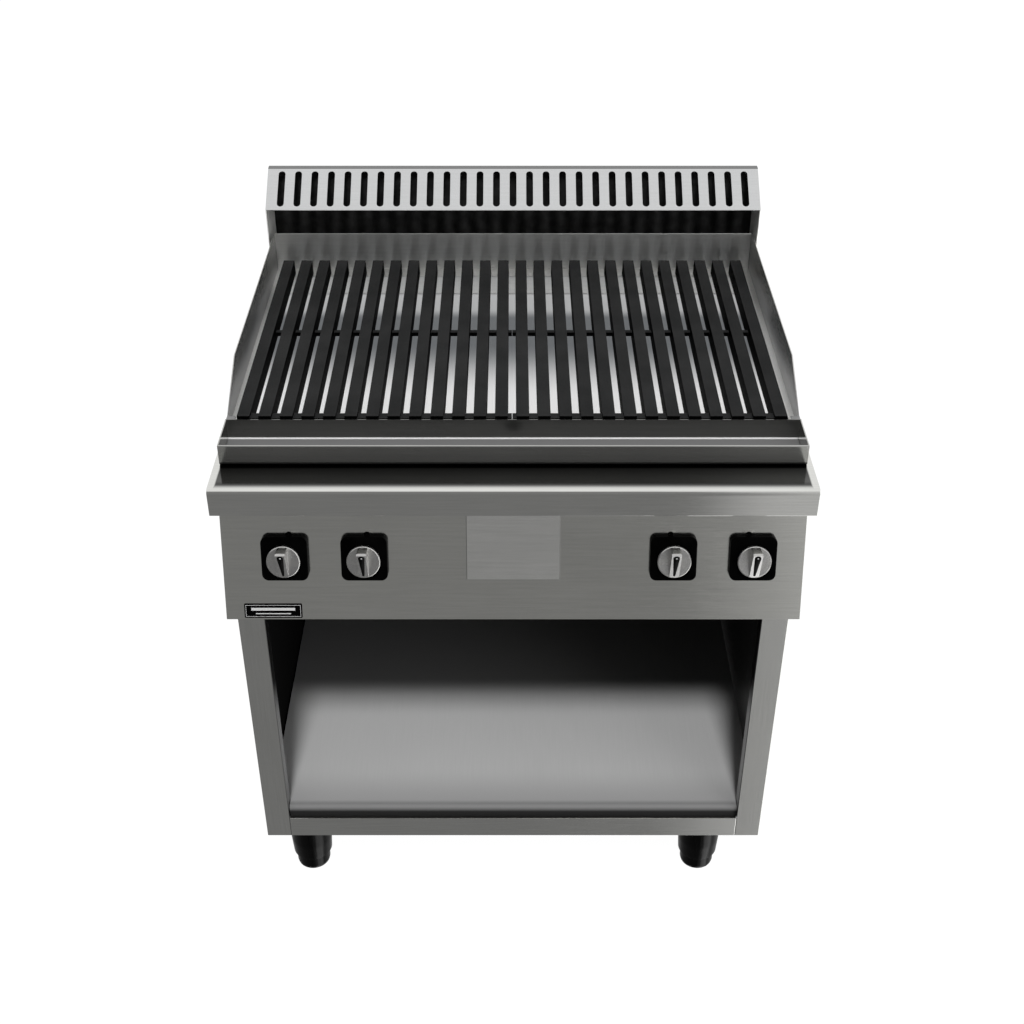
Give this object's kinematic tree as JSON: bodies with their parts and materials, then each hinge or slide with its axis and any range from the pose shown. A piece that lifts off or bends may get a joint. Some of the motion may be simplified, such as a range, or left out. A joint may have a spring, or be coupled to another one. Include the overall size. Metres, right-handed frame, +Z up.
{
  "type": "gas charbroiler grill",
  "caption": "Floor-standing gas char grill on an open cabinet: barred grates, slotted rear flue, sloping panel with knobs, grease gutter and drawer.",
  "frame": {"origin": "on the floor, at the middle of the whole machine's footprint, knobs included", "axes": "+Z up, +Y towards the flue at the back, +X to the right of someone standing at the control panel"},
  "size_m": [0.8, 0.7438, 1.014],
  "materials": {
    "stainless_steel": "satin brushed stainless sheet",
    "bright_steel": "bright brushed stainless sheet",
    "plated_steel": "zinc-plated steel",
    "cast_iron": "black matt cast iron",
    "black_plastic": "smooth black",
    "satin_metal": "satin plated knob",
    "brass": "machined brass",
    "aluminium_tube": "drawn tube",
    "foot_metal": "polished dark metal"
  },
  "bodies": {
    "frame": {"worktop": "stainless_steel", "control_panel": "stainless_steel", "left_side_panel": "stainless_steel", "right_side_panel": "stainless_steel", "back_panel": "stainless_steel", "cabinet_floor": "bright_steel", "base_rails": "plated_steel", "left_post": "stainless_steel", "right_post": "stainless_steel", "bottom_rail": "stainless_steel", "compartment_ceiling": "stainless_steel", "left_hearth_wall": "stainless_steel", "right_hearth_wall": "stainless_steel", "rear_hearth_wall": "stainless_steel", "front_hearth_wall": "stainless_steel", "hearth_ledges": "bright_steel", "gutter": "stainless_steel", "left_flue_cheek": "stainless_steel", "right_flue_cheek": "stainless_steel", "flue_grille": "bright_steel", "flue_back": "stainless_steel", "bezels": "black_plastic", "name_plate": "black_plastic", "index_marks": "black_plastic", "gas_manifold": "plated_steel", "gas_inlet_pipe": "plated_steel", "valve_bodies": "brass", "gas_tubes": "aluminium_tube", "injectors": "brass", "burners": "plated_steel", "pilot_burners": "brass", "radiants": "bright_steel", "burner_support": "plated_steel", "left_drip_plate": "stainless_steel", "right_drip_plate": "stainless_steel", "drawer_runners": "stainless_steel", "foot_sockets": "foot_metal", "back_screws": "stainless_steel", "return_springs": "stainless_steel"},
    "left_grate": {"left_grate": "cast_iron"},
    "right_grate": {"right_grate": "cast_iron"},
    "grease_drawer": {"drawer_pan": "bright_steel", "drawer_front": "bright_steel"},
    "valve_plug_1": {"valve_plug_1": "brass"},
    "knob_1": {"knob_1": "satin_metal", "spindle_1": "stainless_steel"},
    "foot_1": {"foot_1": "foot_metal"},
    "valve_plug_2": {"valve_plug_2": "brass"},
    "knob_2": {"knob_2": "satin_metal", "spindle_2": "stainless_steel"},
    "foot_2": {"foot_2": "foot_metal"},
    "valve_plug_3": {"valve_plug_3": "brass"},
    "knob_3": {"knob_3": "satin_metal", "spindle_3": "stainless_steel"},
    "foot_3": {"foot_3": "foot_metal"},
    "valve_plug_4": {"valve_plug_4": "brass"},
    "knob_4": {"knob_4": "satin_metal", "spindle_4": "stainless_steel"},
    "foot_4": {"foot_4": "foot_metal"}
  },
  "joints": [
    {"name": "left_grate_lift", "type": "slide", "parent": "frame", "child": "left_grate", "axis": [0, 0, 1], "range_m": [0, 0.12]},
    {"name": "right_grate_lift", "type": "slide", "parent": "frame", "child": "right_grate", "axis": [0, 0, 1], "range_m": [0, 0.12]},
    {"name": "drawer_slide", "type": "slide", "parent": "frame", "child": "grease_drawer", "axis": [0, -1, 0], "range_m": [0, 0.45]},
    {"name": "knob_1_turn", "type": "hinge", "parent": "frame", "child": "valve_plug_1", "pos_m": [-0.307, -0.33223, 0.73915], "axis": [0, -0.9659, 0.2588], "range_deg": [0, 180]},
    {"name": "knob_1_push", "type": "slide", "parent": "valve_plug_1", "child": "knob_1", "axis": [0, 0.9659, -0.2588], "range_m": [0, 0.004], "stiffness_N_per_m": 1500, "springref_m": -0.003, "deforming": ["return_springs"]},
    {"name": "knob_2_turn", "type": "hinge", "parent": "frame", "child": "valve_plug_2", "pos_m": [-0.2, -0.33223, 0.73915], "axis": [0, -0.9659, 0.2588], "range_deg": [0, 180]},
    {"name": "knob_2_push", "type": "slide", "parent": "valve_plug_2", "child": "knob_2", "axis": [0, 0.9659, -0.2588], "range_m": [0, 0.004], "stiffness_N_per_m": 1500, "springref_m": -0.003, "deforming": ["return_springs"]},
    {"name": "knob_3_turn", "type": "hinge", "parent": "frame", "child": "valve_plug_3", "pos_m": [0.215, -0.33223, 0.73915], "axis": [0, -0.9659, 0.2588], "range_deg": [0, 180]},
    {"name": "knob_3_push", "type": "slide", "parent": "valve_plug_3", "child": "knob_3", "axis": [0, 0.9659, -0.2588], "range_m": [0, 0.004], "stiffness_N_per_m": 1500, "springref_m": -0.003, "deforming": ["return_springs"]},
    {"name": "knob_4_turn", "type": "hinge", "parent": "frame", "child": "valve_plug_4", "pos_m": [0.322, -0.33223, 0.73915], "axis": [0, -0.9659, 0.2588], "range_deg": [0, 180]},
    {"name": "knob_4_push", "type": "slide", "parent": "valve_plug_4", "child": "knob_4", "axis": [0, 0.9659, -0.2588], "range_m": [0, 0.004], "stiffness_N_per_m": 1500, "springref_m": -0.003, "deforming": ["return_springs"]},
    {"name": "foot_1_height", "type": "slide", "parent": "frame", "child": "foot_1", "axis": [0, 0, -1], "range_m": [-0.004, 0.03]},
    {"name": "foot_2_height", "type": "slide", "parent": "frame", "child": "foot_2", "axis": [0, 0, -1], "range_m": [-0.004, 0.03]},
    {"name": "foot_3_height", "type": "slide", "parent": "frame", "child": "foot_3", "axis": [0, 0, -1], "range_m": [-0.004, 0.03]},
    {"name": "foot_4_height", "type": "slide", "parent": "frame", "child": "foot_4", "axis": [0, 0, -1], "range_m": [-0.004, 0.03]}
  ]
}
